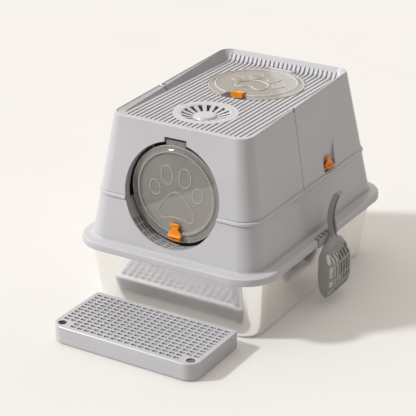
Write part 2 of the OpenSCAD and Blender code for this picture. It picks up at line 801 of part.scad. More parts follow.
// Side latch: a rocker in its pocket, on a pin along y
side_latch_h = 29;
side_knuckle_r = 3.4;
side_latch_t = 4;
module side_latch(s) {
    mirror([s, 0, 0])
        color(orange) at_side_pin() difference() {
            union() {
                translate([-side_latch_t / 2, 0, gap * 8 - latch_pin_up])
                    rotate([90, 0, 90])
                        linear_extrude(side_latch_t)
                            latch_face(latch_w, side_latch_h);
                along_y(side_knuckle_r, -latch_w * 0.3, latch_w * 0.6);
                // Finger ledge across the wings
                translate([0, -latch_w / 2, side_latch_h * 0.12])
                    cube([side_latch_t / 2 + latch_ledge, latch_w, side_latch_h * 0.09]);
            }
            along_y(pin_r + run_fit, -latch_w, latch_w * 2);
        }
}
module side_latch_right() {
    side_latch(0);
}
module side_latch_left() {
    side_latch(1);
}

// Pins of the side latches, and their bores in the walls of the pockets
module side_pins() {
    for (s = [0, 1])
        mirror([s, 0, 0])
            at_side_pin()
                along_y(pin_r, gap * 2 - pocket_w / 2 - wall, pocket_w + (wall - gap * 2) * 2);
}
module side_latch_pins() {
    color(steel)
        side_pins();
}

// Vent grille: a dished rosette with a hub, which turns in its seat
grille_flange_t = 2.6;
grille_drop = 12;
hub_r = 23;
hub_h = 8;
grille_t = 2;
slot_in_share = 0.52;
slot_out_share = 0.95;
module vent_grille() {
    r = vent_r - gap;
    bowl_r = vent_r - vent_ledge - gap;
    z = groove_z + gap;
    color(grey) translate([0, -vent_y, z]) difference() {
        rotate_extrude()
            polygon(concat([[0, -grille_drop], [hub_r, -grille_drop], [bowl_r, -grille_t], [bowl_r, 0],
                    [r, 0], [r, grille_flange_t], [bowl_r, grille_flange_t],
                    [hub_r + grille_t, grille_t - grille_drop]],
                [for (a = [0 : 18 : 90]) [hub_r * (0.55 + 0.45 * cos(a)), hub_h * (0.55 + 0.45 * sin(a))
                    - grille_drop + grille_t]],
                [[0, hub_h - grille_drop + grille_t]]));
        for (i = [0 : vent_slots - 1])
            rotate(360 * i / vent_slots)
                translate([0, 0, -grille_drop * 2])
                    linear_extrude(grille_drop * 3)
                        polygon([[bowl_r * slot_in_share, -grille_t * 0.9], [bowl_r * slot_out_share,
                            -grille_t * 2.5],
                            [bowl_r * slot_out_share, grille_t * 2.5], [bowl_r * slot_in_share,
                                grille_t * 0.9]]);
    }
}

// Filter cage: a shallow basket fixed under the deck
cage_h = 24;
cage_flange = 7;
cage_bar = 4;
filter_h = 8;
module filter_cage() {
    r = vent_r - vent_ledge;
    top = deck_under - gap;
    color(grey) translate([0, -vent_y, top - cage_h]) {
        difference() {
            union() {
                cylinder(r = r + wall * 0.7, h = cage_h);
                translate([0, 0, cage_h - wall])
                    cylinder(r = r + cage_flange, h = wall);
            }
            translate([0, 0, -over])
                cylinder(r = r, h = cage_h * 2);
        }
        // Cross of bars and a ring under the filter
        linear_extrude(wall * 0.8) {
            for (a = [0 : 45 : 135])
                rotate(a)
                    square([(r + gap) * 2, cage_bar], center = true);
            difference() {
                circle(r = r * 0.55);
                circle(r = r * 0.55 - cage_bar);
            }
        }
    }
}
module carbon_filter() {
    r = vent_r - vent_ledge - gap * 2;
    color(black) translate([0, -vent_y, deck_under - cage_h + wall * 0.8])
        cylinder(r = r, h = filter_h);
}

// Scoop holder: a clip over the flange, with a peg that carries the scoop by its shoulder
holder_w = 64;
holder_left = 52;
holder_t = 2.6;
holder_reach = 10;
// Tabs over the flange: start and end along the clip, as shares of its width
tab_shares = [[0, 0.14], [0.24, 0.38], [0.50, 0.62], [0.74, 1]];
peg_w = 20;
peg_h = 8;
module scoop_holder() {
    x = flange_w / 2 + gap;
    top = flange_top + gap;
    low = flange_z - gap - holder_t;
    peg_top = scoop_lip_z + basket_h * peg_shares[1] - scoop_t - gap;
    peg_end = scoop_x + basket_d * peg_shares[0] - scoop_t;
    color(dark_grey) {
        translate([x, -holder_left, low])
            cube([holder_t, holder_w, top - low]);
        for (tab = tab_shares)
            translate([x - holder_reach, holder_w * tab[0] - holder_left, top])
                cube([holder_reach + holder_t, holder_w * (tab[1] - tab[0]), holder_t]);
        translate([x - band_t - gap, -holder_left, low])
            cube([band_t + gap + holder_t, holder_w, holder_t]);
        // Peg, on a tongue below the clip
        translate([x, -peg_w / 2, peg_top - peg_h])
            cube([holder_t, peg_w, low + holder_t - peg_top + peg_h]);
        translate([x, -peg_w / 2, peg_top - peg_h])
            cube([peg_end - x, peg_w, peg_h]);
    }
}

// Scoop, hung with its slotted floor outwards and its lip down
scoop_t = 2.2;
scoop_lip_z = 20;
scoop_x = max(flange_w / 2, wall_foot_w / 2 + fillet, pan_mouth_w / 2 + pan_rim_reach) + gap * 2;
handle_w = 18;
handle_t = 10;
// Sections from the lip up into the handle: height, half-width, free edge and floor, as shares of the
// basket's height, half-width, depth and depth
scoop_shares = [[0, 0.88, 0.50, 0.54], [0.05, 0.96, 0.34, 0.73], [0.12, 0.99, 0.20, 0.89],
    [0.24, 1, 0.07, 0.99], [0.40, 1, 0, 1], [0.55, 1, 0, 0.99], [0.66, 1, 0, 0.94], [0.74, 0.99, 0, 0.78],
    [0.82, 0.96, 0.03, 0.58], [0.89, 0.87, 0.08, 0.43], [0.95, 0.71, 0.09, 0.39], [1.00, 0.49, 0.09, 0.38],
    [1.04, 0.32, 0.09, 0.38], [1.09, 0.18, 0.09, 0.38]];
square_share = 0.36;
hollow_end = 10;
shoulder_from = 7;
// The shoulder's inside rests on the peg here
peg_shares = [at_share(3, 0.88), 0.88];
// Middle of the handle, in shares of the basket's depth and height
handle_shares = [[0.235, 0.98], [0.235, 1.08], [0.22, 1.16], [0.13, 1.27], [0.075, 1.39], [0.085, 1.51],
    [0.15, 1.63], [0.26, 1.74], [0.39, 1.83], [0.50, 1.875]];
handle_ramp = 5;
// Rows of slots: bottom, top, and how much lower the top is in the middle, as shares of the height
row_shares = [[0.05, 0.20, 0], [0.25, 0.36, 0], [0.39, 0.62, 0], [0.65, 0.84, 0.06]];
// Openings round the corners: bottom and top, and their place round the section in degrees
corner_shares = [[0.05, 0.15], [0.22, 0.35], [0.40, 0.62], [0.66, 0.85]];
corner_turn = 45;
corner_width_share = 0.1;
slot_share = 0.58;
columns_share = 0.76;
module scoop() {
    pitch = scoop_w * columns_share / scoop_columns;
    color(dark_grey) translate([scoop_x, 0, scoop_lip_z]) {
        difference() {
            union() {
                basket_form(0);
                handle();
            }
            basket_form(scoop_t);
            handle_channel();
            // Slots through the floor
            for (row = row_shares)
                for (i = [0 : scoop_columns - 1]) {
                    side = (i + 0.5) / scoop_columns * 2 - 1;
                    translate([basket_d * 0.3, side * pitch * scoop_columns / 2 - pitch * slot_share / 2,
                            basket_h * row[0]])
                        cube([basket_d, pitch * slot_share,
                            basket_h * (row[1] - row[0] - row[2] * (1 - side * side))]);
                }
            // Oblong ones with round ends, square to the corners that they go round
            for (c = corner_shares)
                for (s = [0, 1])
                    mirror([0, s, 0])
                        corner_opening(basket_h * c[0], basket_h * c[1]);
        }
    }
}
module corner_opening(low, high) {
    w = scoop_w * corner_width_share;
    p = section((low + high) / 2 / basket_h, 0)[corner_turn / 15 + 1];
    q = [section(low / basket_h, 0)[corner_turn / 15 + 1], section(high / basket_h,
        0)[corner_turn / 15 + 1]];
    tilt = atan2(q[1][0] - q[0][0], high - low);
    translate([p[0], p[1], (low + high) / 2])
        rotate([0, 0, -atan(basket_d * 2 / scoop_w)])
            rotate([0, 90 + tilt, 0])
                translate([0, 0, -scoop_t * 3])
                    linear_extrude(scoop_t * 6) {
                        square([high - low - w, w], center = true);
                        for (e = [-1, 1])
                            translate([e * (high - low - w) / 2, 0])
                                circle(d = w, $fn = 24);
                    }
}
// A value of the scoop's table at a share of the height
function at_share(i, share) = lookup(share, [for (p = scoop_shares) [p[0], p[i]]]);
// Section of the basket at a share of the height, or of its inside when it is drawn in by a wall: from
// the free edge on one side, round the floor, to the other, and for the inside out past the free edge
function section(share, t) = section_of([share, at_share(1, share), at_share(2, share), at_share(3,
    share)], t);
function section_of(p, t) = let (w = max(scoop_w / 2 * p[1] - t, t), edge = basket_d * p[2],
        floor = max(basket_d * p[3] - t, edge + gap), out = t > 0 ? -over : edge)
    concat([[out, -w]], [for (a = [0 : 15 : 180]) [edge + (floor - edge) * pow(sin(a), square_share),
        -sign(cos(a)) * w * pow(abs(cos(a)), square_share)]], [[out, w]]);
// Outer form of the basket, or its inside when it is drawn in by a wall
module basket_form(t) {
    rows = open_curve(t > 0 ? [for (i = [0 : hollow_end]) scoop_shares[i]] : scoop_shares, 2);
    below = t > 0 ? [lift(section_of(rows[0], t), -over)] : [];
    loft(concat(below, [for (p = rows) lift(section_of(p, t), basket_h * p[0]
        - (p[0] > scoop_shares[shoulder_from][0] ? t : 0))]));
}
// Handle, with a channel that is open outwards and starts shallow at the shoulder
function handle_path() = open_curve([for (p = handle_shares) [p[0] * basket_d, p[1] * basket_h]]);
module handle() {
    mid = handle_path();
    n = len(mid);
    bar(mid, handle_w, [for (p = mid) -handle_t / 2], handle_t / 2);
    rotate([90, 0, 0])
        translate([mid[n - 1][0], mid[n - 1][1], -handle_w / 2])
            cylinder(r = handle_t / 2, h = handle_w, $fn = 32);
}
module handle_channel() {
    mid = handle_path();
    inside = [for (i = [1 : len(mid) - 2]) mid[i]];
    bar(inside, handle_w - scoop_t * 2, [for (i = [0 : len(inside) - 1])
        handle_t / 2 - (handle_t - scoop_t) * min(1, i / handle_ramp)], handle_t / 2 + over);
}
// Bar along a path, of a width, between an inner distance at each point and an outer one
module bar(path, w, low, high) {
    n = len(path);
    function across(i) = let (d = path[min(i + 1, n - 1)] - path[max(i - 1, 0)]) [d[1], -d[0]] / norm(d);
    rotate([90, 0, 0])
        translate([0, 0, -w / 2])
            linear_extrude(w)
                polygon(concat([for (i = [0 : n - 1]) path[i] + across(i) * high],
                    [for (i = [n - 1 : -1 : 0]) path[i] + across(i) * low[i]]));
}

// Step: a hollow tray with a drop-in slotted grille and soft feet
step_wall = 3;
step_rim = 6;
step_front_r = 30;
step_back_r = 9;
grille_plate_t = 3.5;
foot_t = 1.5;
finger_r = 7.5;
finger_in = 19.5;
step_back = -pan_floor_l / 2 - step_gap;
step_front = step_back - step_d;
// Outline of the step drawn in by a distance
function step_outline(g) = [for (c = [[step_w / 2, step_back, step_back_r, 0], [-step_w / 2, step_back,
    step_back_r, 90],
        [-step_w / 2, step_front, step_front_r, 180], [step_w / 2, step_front, step_front_r, 270]])
    for (i = [0 : corner_steps]) let (a = c[3] + 90 * i / corner_steps, r = c[2],
            sx = sign(c[0]), sy = c[1] == step_back ? 1 : -1)
        [step_x + c[0] - sx * r + max(r - g, gap) * cos(a) - sx * max(g - r + gap, 0),
            c[1] - sy * r + max(r - g, gap) * sin(a) - sy * max(g - r + gap, 0)]];
module step_tray() {
    color(grey) difference() {
        loft([lift(step_outline(fillet * 0.7), foot_t), lift(step_outline(fillet * 0.2),
            foot_t + fillet * 0.25),
            lift(step_outline(0), foot_t + fillet), lift(step_outline(0), step_h - fillet * 0.3),
            lift(step_outline(fillet * 0.3), step_h)]);
        translate([0, 0, foot_t + step_wall])
            linear_extrude(step_h)
                polygon(step_outline(step_rim + step_wall));
        translate([0, 0, step_h - grille_plate_t - gap])
            linear_extrude(step_h)
                polygon(step_outline(step_rim - gap));
    }
}
module step_grille() {
    px = (step_w - step_rim * 3) / step_columns;
    py = (step_d - step_rim * 3) / step_rows;
    color(grey)
        translate([0, 0, step_h - grille_plate_t])
            linear_extrude(grille_plate_t)
                difference() {
                    polygon(step_outline(step_rim));
                    for (i = [0 : step_columns - 1])
                        for (j = [0 : step_rows - 1])
                            if (!near_finger(i, j))
                                translate([step_x + (i - step_columns / 2 + 0.5) * px,
                                        (step_front + step_back) / 2 + (j - step_rows / 2 + 0.5) * py])
                                    square([px * 0.78, py * 0.58], center = true);
                    for (s = [-1, 1])
                        translate([step_x + s * (step_w / 2 - finger_in), step_front + finger_in])
                            circle(r = finger_r);
                }
}
// Slots left out round the finger holes at the front corners
function near_finger(i, j) = j < 2 && (i < 2 || i > step_columns - 3);
module step_feet() {
    foot_r = 9;
    color(black)
        for (sx = [-1, 1])
            for (sy = [-1, 1])
                translate([step_x + sx * (step_w / 2 - step_front_r), (step_front + step_back) / 2
                        + sy * (step_d / 2 - step_front_r), 0])
                    cylinder(r = foot_r, h = foot_t);
}

steel_pan();
base_frame();
sill_grate();
front_hood();
rear_hood();
hood_hinge_pins();
front_door();
front_door_pin();
front_door_latch();
top_lid();
top_lid_pin();
top_lid_latch();
side_latch_right();
side_latch_left();
side_latch_pins();
vent_grille();
filter_cage();
carbon_filter();
scoop_holder();
scoop();
step_tray();
step_grille();
step_feet();
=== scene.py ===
import math

import bmesh
import bpy
from mathutils import Matrix, Vector


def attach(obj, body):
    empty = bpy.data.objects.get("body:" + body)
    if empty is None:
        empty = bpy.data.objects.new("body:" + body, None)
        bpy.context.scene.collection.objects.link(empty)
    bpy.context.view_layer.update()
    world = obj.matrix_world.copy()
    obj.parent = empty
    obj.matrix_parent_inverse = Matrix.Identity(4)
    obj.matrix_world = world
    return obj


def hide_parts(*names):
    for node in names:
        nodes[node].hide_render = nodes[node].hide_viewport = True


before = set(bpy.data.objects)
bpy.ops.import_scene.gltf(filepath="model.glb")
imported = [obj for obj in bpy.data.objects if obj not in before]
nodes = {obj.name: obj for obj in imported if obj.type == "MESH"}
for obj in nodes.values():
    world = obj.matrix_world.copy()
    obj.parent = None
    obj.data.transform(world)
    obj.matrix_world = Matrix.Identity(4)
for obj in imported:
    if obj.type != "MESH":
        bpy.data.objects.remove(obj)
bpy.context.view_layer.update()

# The photographer's view: a long lens from the front right, a little above the box. Its
# place and its turn were fitted to the edges of the flange, the hood and the step.
looks_down = 23.352815
looks_left = 31.01113
camera_data = bpy.data.cameras.new("camera")
camera_data.sensor_width = 36
camera_data.lens = 125.3221
camera_data.clip_end = 50
camera = bpy.data.objects.new("camera", camera_data)
camera.location = (1.449430, -2.527564, 1.414740)
camera.rotation_euler = (math.radians(90 - looks_down), 0, math.radians(looks_left))
bpy.context.scene.collection.objects.link(camera)
bpy.context.scene.camera = camera
bpy.context.scene.view_settings.view_transform = "Standard"

# The studio: a warm white paper floor that runs out to a white room. A broad soft lamp
# stands high at the left front, and the room fills in from above and from behind.


def finish(name, dark, light, cloud=9.0, rough=(0.4, 0.5), grain=700.0, bump=0.05, metal=0.0):
    """Procedural material: two close tones in soft clouds, an uneven gloss and a fine grain."""
    made = bpy.data.materials.new(name)
    made.use_nodes = True
    tree = made.node_tree
    shader = tree.nodes["Principled BSDF"]
    shader.inputs["Metallic"].default_value = metal
    place = tree.nodes.new("ShaderNodeTexCoord")
    clouds = tree.nodes.new("ShaderNodeTexNoise")
    clouds.inputs["Scale"].default_value = cloud
    clouds.inputs["Detail"].default_value = 4
    tree.links.new(place.outputs["Object"], clouds.inputs["Vector"])
    tones = tree.nodes.new("ShaderNodeValToRGB")
    tones.color_ramp.elements[0].position = 0.35
    tones.color_ramp.elements[0].color = (*dark, 1)
    tones.color_ramp.elements[1].position = 0.65
    tones.color_ramp.elements[1].color = (*light, 1)
    tree.links.new(clouds.outputs["Fac"], tones.inputs["Fac"])
    tree.links.new(tones.outputs["Color"], shader.inputs["Base Color"])
    grains = tree.nodes.new("ShaderNodeTexNoise")
    grains.inputs["Scale"].default_value = grain
    grains.inputs["Detail"].default_value = 3
    tree.links.new(place.outputs["Object"], grains.inputs["Vector"])
    gloss = tree.nodes.new("ShaderNodeMapRange")
    gloss.inputs["From Min"].default_value = 0.3
    gloss.inputs["From Max"].default_value = 0.7
    gloss.inputs["To Min"].default_value = rough[0]
    gloss.inputs["To Max"].default_value = rough[1]
    tree.links.new(clouds.outputs["Fac"], gloss.inputs["Value"])
    tree.links.new(gloss.outputs["Result"], shader.inputs["Roughness"])
    relief = tree.nodes.new("ShaderNodeBump")
    relief.inputs["Strength"].default_value = bump
    relief.inputs["Distance"].default_value = 0.0004
    tree.links.new(grains.outputs["Fac"], relief.inputs["Height"])
    tree.links.new(relief.outputs["Normal"], shader.inputs["Normal"])
    return made


def lacquer(material, weight, rough):
    """Puts a clear gloss over a material."""
    shader = material.node_tree.nodes["Principled BSDF"]
    shader.inputs["Coat Weight"].default_value = weight
    shader.inputs["Coat Roughness"].default_value = rough


def stand(name, made, *finishes):
    """Stands a mesh in the scene as an object with its finishes."""
    mesh = bpy.data.meshes.new(name)
    made.to_mesh(mesh)
    made.free()
    for material in finishes:
        mesh.materials.append(material)
    piece = bpy.data.objects.new(name, mesh)
    bpy.context.scene.collection.objects.link(piece)
    return piece


paper = finish("floor_paper", (0.60, 0.594, 0.578), (0.61, 0.604, 0.588), 3, (0.88, 0.92))
shader = paper.node_tree.nodes["Principled BSDF"]
shader.inputs["Specular IOR Level"].default_value = 0.1
shader.inputs["Emission Color"].default_value = (1.0, 0.93, 0.85, 1)
shader.inputs["Emission Strength"].default_value = 0.13
made = bmesh.new()
bmesh.ops.create_grid(made, x_segments=1, y_segments=1, size=12)
stand("floor", made, paper)

room_light_from = (-0.433, 0.25, 0.866)
room_light = (0.09, 1.12)
world = bpy.data.worlds.new("room")
bpy.context.scene.world = world
world.use_nodes = True
tree = world.node_tree
background = tree.nodes["Background"]
background.inputs["Color"].default_value = (1.0, 0.94, 0.875, 1)
direction = tree.nodes.new("ShaderNodeTexCoord")
toward = tree.nodes.new("ShaderNodeVectorMath")
toward.operation = "DOT_PRODUCT"
toward.inputs[1].default_value = room_light_from
tree.links.new(direction.outputs["Generated"], toward.inputs[0])
spread = tree.nodes.new("ShaderNodeMapRange")
spread.interpolation_type = "SMOOTHSTEP"
spread.inputs["From Min"].default_value = 0
spread.inputs["From Max"].default_value = 0.8
spread.inputs["To Min"].default_value = room_light[0]
spread.inputs["To Max"].default_value = room_light[1]
tree.links.new(toward.outputs["Value"], spread.inputs["Value"])
tree.links.new(spread.outputs["Result"], background.inputs["Strength"])

lamp_height = 39.5
lamp_left = 38
lamp = bpy.data.lights.new("key", "SUN")
lamp.energy = 2.65
lamp.angle = math.radians(6)
lamp.color = (0.95, 0.98, 1.0)
key = bpy.data.objects.new("key", lamp)
key.rotation_euler = (math.radians(90 - lamp_height), 0, math.radians(lamp_left - 90))
bpy.context.scene.collection.objects.link(key)

# Pan: deep-drawn stainless steel, polished bright, with a rolled rim under the frame. The
# polish is a little uneven, so that what it mirrors runs soft.


def settle(made, angle):
    """Welds a mesh, turns it outwards, and marks its sharp edges."""
    bmesh.ops.remove_doubles(made, verts=made.verts, dist=1e-6)
    bmesh.ops.recalc_face_normals(made, faces=made.faces)
    for face in made.faces:
        face.smooth = True
    for edge in made.edges:
        if len(edge.link_faces) == 2:
            edge.smooth = edge.calc_face_angle(0) < math.radians(angle)


def place(name, made, finishes, body, node, round=0.0006, angle=30):
    """Makes a piece of a mesh, which stands for a CAD node and moves with its body."""
    settle(made, angle)
    piece = stand(name, made, *finishes)
    if round:
        edges = piece.modifiers.new("edges", "BEVEL")
        edges.limit_method = "ANGLE"
        edges.angle_limit = math.radians(angle)
        edges.width = round
        edges.segments = 2
    normals = piece.modifiers.new("normals", "WEIGHTED_NORMAL")
    normals.keep_sharp = True
    normals.weight = 100
    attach(piece, body)
    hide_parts(node)


def moulded(node):
    """The welded mesh of a CAD node."""
    made = bmesh.new()
    made.from_mesh(nodes[node].data)
    bmesh.ops.remove_doubles(made, verts=made.verts, dist=1e-6)
    return made


pan_steel = finish(
    "pan_steel", (0.90, 0.885, 0.86), (0.93, 0.92, 0.90), 5, (0.15, 0.2), 9, 0.04, 1.0
)
place("pan", moulded("steel_pan"), [pan_steel], "pan", "steel_pan", 0.0004)

# Frame: one grey moulding with the flange over the pan's rim and the lower walls, and the
# slotted sill of the entry behind it. Both have a fine spark-eroded grain.
frame_grey = finish(
    "frame_grey", (0.485, 0.478, 0.503), (0.515, 0.508, 0.533), 7, (0.42, 0.5), 900, 0.06
)
lacquer(frame_grey, 0.25, 0.22)
hood_seat_z = 0.2497
made = moulded("base_frame")
for vert in made.verts:
    # A slightly wider joint under the hood, which shows as a dark line
    if abs(vert.co.z - hood_seat_z) < 0.0001:
        vert.co.z -= 0.0009
place("frame_moulding", made, [frame_grey], "frame", "base_frame")

# A dark finish for the walls of slots, notches and holes: painted shade that stands for their depth
painted_slot_shade = finish(
    "painted_slot_shade", (0.12, 0.118, 0.124), (0.15, 0.147, 0.155), 30, (0.5, 0.6), 900, 0.05
)
entry_z = 0.2785
made = moulded("sill_grate")
# The walls of the sill's slots get the dark finish: painted shade
for face in made.faces:
    at = face.calc_center_median()
    outwards = Vector((at.x, 0, at.z - entry_z)).normalized()
    if abs(face.normal.dot(outwards)) < 0.5:
        face.material_index = 1
place("sill", made, [frame_grey, painted_slot_shade], "frame", "sill_grate", 0)

# Hood: two mouldings of the same grey, front and back, with the ribbed deck and the bead
# at their foot. Their edges are rounded where they meet, which shows as a dark line.
parting_y = -0.045
parting_round = 0.0008
bead_groove_z = 0.258
bead_groove = 0.0014
notch_low_z = 0.405
for name, node, back in (("hood_front", "front_hood", -1), ("hood_rear", "rear_hood", 1)):
    made = moulded(node)
    parting = [
        edge
        for edge in made.edges
        if all(abs(vert.co.y - parting_y) < 0.0005 for vert in edge.verts)
        and len(edge.link_faces) == 2
        and edge.calc_face_angle(0) > math.radians(40)
        and edge.is_convex
    ]
    bmesh.ops.bevel(
        made, geom=parting, offset=parting_round, segments=1, profile=0.5, affect="EDGES", material=-1
    )
    for vert in made.verts:
        if abs(vert.co.y - parting_y) < 0.0005:
            vert.co.y += parting_round * back
    made.normal_update()
    for vert in made.verts:
        if abs(vert.co.z - bead_groove_z) < 0.0003 and vert.normal.dot(vert.co) > 0:
            vert.co -= Vector((vert.normal.x, vert.normal.y, 0)) * bead_groove
    # The walls of the notches in the rim at the parting get the dark finish: painted shade
    for face in made.faces:
        at = face.calc_center_median()
        in_rim = abs(at.x) > 0.14 and at.z > notch_low_z
        if in_rim and abs(at.y - parting_y) < 0.009 and face.normal.y * back < -0.35:
            face.material_index = 1
    place(name, made, [frame_grey, painted_slot_shade], node, node, 0.0005)

# Pins: short cut lengths of drawn steel wire. They are hidden in the knuckles and in the
# walls, and carry the hood's front part, the door, the lid and the side latches.
wire = finish("pin_wire", (0.55, 0.55, 0.55), (0.62, 0.62, 0.62), 60, (0.25, 0.35), 500, 0.1, 1.0)
for node, body in (
    ("hood_hinge_pins", "rear_hood"),
    ("front_door_pin", "front_hood"),
    ("top_lid_pin", "rear_hood"),
    ("side_latch_pins", "rear_hood"),
):
    place(node + "_wire", moulded(node), [wire], body, node, 0.0002)

# Front door: a clear smoked disc, pressed flat in a raised ring, with a paw in thin raised
# lines. It hangs upright from an arm that reaches back to its pin.


def clear(material, across, low, high, painted_light_tone, flat, slant):
    """Makes a material clear: painted light past a slanting line, and painted shade and more density at a
    slant.
    """
    tree = material.node_tree
    shader = tree.nodes["Principled BSDF"]
    line = tree.nodes.new("ShaderNodeVectorMath")
    line.operation = "DOT_PRODUCT"
    line.inputs[1].default_value = across
    tree.links.new(tree.nodes["Texture Coordinate"].outputs["Object"], line.inputs[0])
    # Painted light: past a slanting line the colour turns to a lighter tone, which stands for light seen
    # through the plastic
    painted_light_edge = tree.nodes.new("ShaderNodeMapRange")
    painted_light_edge.interpolation_type = "SMOOTHSTEP"
    painted_light_edge.inputs["From Min"].default_value = low
    painted_light_edge.inputs["From Max"].default_value = high
    tree.links.new(line.outputs["Value"], painted_light_edge.inputs["Value"])
    painted_light_mix = tree.nodes.new("ShaderNodeMixRGB")
    painted_light_mix.inputs["Color2"].default_value = (*painted_light_tone, 1)
    tree.links.new(painted_light_edge.outputs["Result"], painted_light_mix.inputs["Fac"])
    tree.links.new(tree.nodes["Color Ramp"].outputs["Color"], painted_light_mix.inputs["Color1"])

    # Painted shade: the colour is darker where the surface is seen at a slant, and the alpha is denser
    # there
    facing = tree.nodes.new("ShaderNodeLayerWeight")
    facing.inputs["Blend"].default_value = 0.5
    shade, veil = (tree.nodes.new("ShaderNodeMapRange") for part in range(2))
    for part, straight, slanted in ((shade, 1, 0.42), (veil, flat, slant)):
        part.inputs["From Min"].default_value = 0.25
        part.inputs["From Max"].default_value = 0.7
        part.inputs["To Min"].default_value = straight
        part.inputs["To Max"].default_value = slanted
        tree.links.new(facing.outputs["Facing"], part.inputs["Value"])
    darker = tree.nodes.new("ShaderNodeVectorMath")
    darker.operation = "SCALE"
    tree.links.new(painted_light_mix.outputs["Color"], darker.inputs[0])
    tree.links.new(shade.outputs["Result"], darker.inputs["Scale"])
    tree.links.new(darker.outputs["Vector"], shader.inputs["Base Color"])
    tree.links.new(veil.outputs["Result"], shader.inputs["Alpha"])


def turned(made, profile, steps=96):
    """Turns a profile of radius and height in millimetres about the z axis, into a mesh."""
    verts = [made.verts.new((r / 1000, 0, h / 1000)) for r, h in profile]
    edges = [made.edges.new(pair) for pair in zip(verts, verts[1:])]
    bmesh.ops.spin(
        made, geom=verts + edges, cent=(0, 0, 0), axis=(0, 0, 1), angle=math.tau,
        steps=steps, use_merge=True,
    )
    bmesh.ops.remove_doubles(made, verts=made.verts, dist=1e-6)


def around(points, size, steps):
    """A smooth closed line through a few points, which are shares of a size."""
    points = [Vector((x * size, y * size)) for x, y in points]
    line = []
    for i in range(len(points)):
        a, b, c, d = (points[(i + k) % len(points)] for k in (-1, 0, 1, 2))
        for k in range(steps):
            t = k / steps
            line.append(
                b + (c - a) * t / 2 + (a - b * 2.5 + c * 2 - d / 2) * t**2
                + (b * 1.5 - a / 2 - c * 1.5 + d / 2) * t**3
            )
    return line


def oval(x, y, across, along, tilt, steps=40):
    """A tilted ellipse."""
    turn = Matrix.Rotation(math.radians(tilt), 2)
    line = []
    for k in range(steps):
        a = math.tau * k / steps
        line.append(Vector((x, y)) + turn @ Vector((across * math.cos(a), along * math.sin(a))))
    return line


def ridge(made, line, thick, height=0.0, closed=True):
    """Lays a thin raised line at a height over the face, in the piece's second finish, a lighter painted
    highlight.
    """
    curve = bpy.data.curves.new("ridge", "CURVE")
    curve.dimensions = "3D"
    curve.bevel_depth = thick
    curve.bevel_resolution = 2
    spline = curve.splines.new("POLY")
    spline.points.add(len(line) - 1)
    for point, at in zip(spline.points, line):
        point.co = (at.x, at.y, height, 1)
    spline.use_cyclic_u = closed
    curve.use_fill_caps = not closed
    carrier = bpy.data.objects.new("ridge", curve)
    old = len(made.faces)
    made.from_mesh(carrier.to_mesh())
    made.faces.ensure_lookup_table()
    for face in made.faces[old:]:
        face.material_index = 1
    carrier.to_mesh_clear()
    bpy.data.objects.remove(carrier)
    bpy.data.curves.remove(curve)


def block(made, at, size):
    """A block about a point, by its width, depth and height."""
    verts = bmesh.ops.create_cube(made, size=1)["verts"]
    bmesh.ops.transform(
        made, verts=verts, matrix=Matrix.Translation(at) @ Matrix.Diagonal((*size, 1))
    )
    return verts


def bar(made, at, r, length, segments=32):
    """A round bar from left to right about a point."""
    bmesh.ops.create_cone(
        made, cap_ends=True, segments=segments, radius1=r, radius2=r, depth=length,
        matrix=Matrix.Translation(at) @ Matrix.Rotation(math.pi / 2, 4, "Y"),
    )


smoked = finish(
    "smoked_clear", (0.30, 0.28, 0.262), (0.37, 0.349, 0.328), 6, (0.07, 0.12), 30, 0.02
)
lacquer(smoked, 1.0, 0.04)
# Painted light: the disc turns lighter towards its lower right, and it is painted darker at a slant as
# shade
clear(smoked, (0.438, 0, -0.899), -0.2475, -0.2425, (0.445, 0.415, 0.385), 0.55, 0.95)
# The door's raised lines get a lighter finish: a painted highlight along them
painted_highlight = finish(
    "clear_painted_highlight", (0.42, 0.40, 0.375), (0.54, 0.52, 0.495), 200, (0.08, 0.16), 30, 0.02
)
lacquer(painted_highlight, 1.0, 0.06)

door_r = 0.106
door_y = -0.24144
door_z = 0.27567
# The ring sits a little higher than the disc's edge, so it narrows towards the top
ring_up = 0.0032
made = bmesh.new()
turned(made, (
    (0, -2.5), (101, -2.5), (103.3, -5.2), (104.8, -5.5), (105.9, -4.8), (106, -1.6), (105.3, -0.7),
    (103.6, -0.2), (98.5, 0), (95.2, 0.3), (93.9, 0.9), (92.7, 2.1), (91.3, 2.8), (89.5, 3), (87.7, 2.8),
    (86.4, 2.1), (85.3, 0.8), (84.2, 0.1), (80, 0), (0, 0),
))
for vert in made.verts:
    r = math.hypot(vert.co.x, vert.co.y)
    vert.co.y += ring_up * min(1, max(0, (0.1045 - r) / 0.0105))
ridge(made, oval(0, ring_up, 0.0893, 0.0893, 0, 96), 0.0009, 0.0025)
ridge(made, oval(0, 0.0001, 0.1042, 0.1042, 0, 96), 0.0007, -0.0004)
for side in (-1, 1):
    ridge(made, oval(side * 0.0509, 0.0072, 0.0122, 0.0164, -14 * side), 0.001)
    ridge(made, oval(side * 0.0212, 0.0392, 0.0138, 0.0207, -4 * side), 0.001)
ridge(made, around((
    (0, 0.05), (0.17, -0.05), (0.36, -0.28), (0.40, -0.43), (0.31, -0.54), (0.12, -0.49),
    (-0.12, -0.49), (-0.31, -0.54), (-0.40, -0.43), (-0.36, -0.28), (-0.17, -0.05),
), door_r, 8), 0.001)
arm = block(made, (0, 0.1068, -0.0052), (0.046, 0.0178, 0.0096))
bmesh.ops.bevel(
    made, geom=list({edge for vert in arm for edge in vert.link_edges}), offset=0.0011, segments=3,
    profile=0.5, affect="EDGES", material=-1,
)
bar(made, (0, 0.11377, -0.01007), 0.0049, 0.0458)
made.transform(Matrix.Translation((0, door_y, door_z)) @ Matrix.Rotation(math.pi / 2, 4, "X"))
place("door_disc", made, [smoked, painted_highlight], "front_door", "front_door", 0, 40)

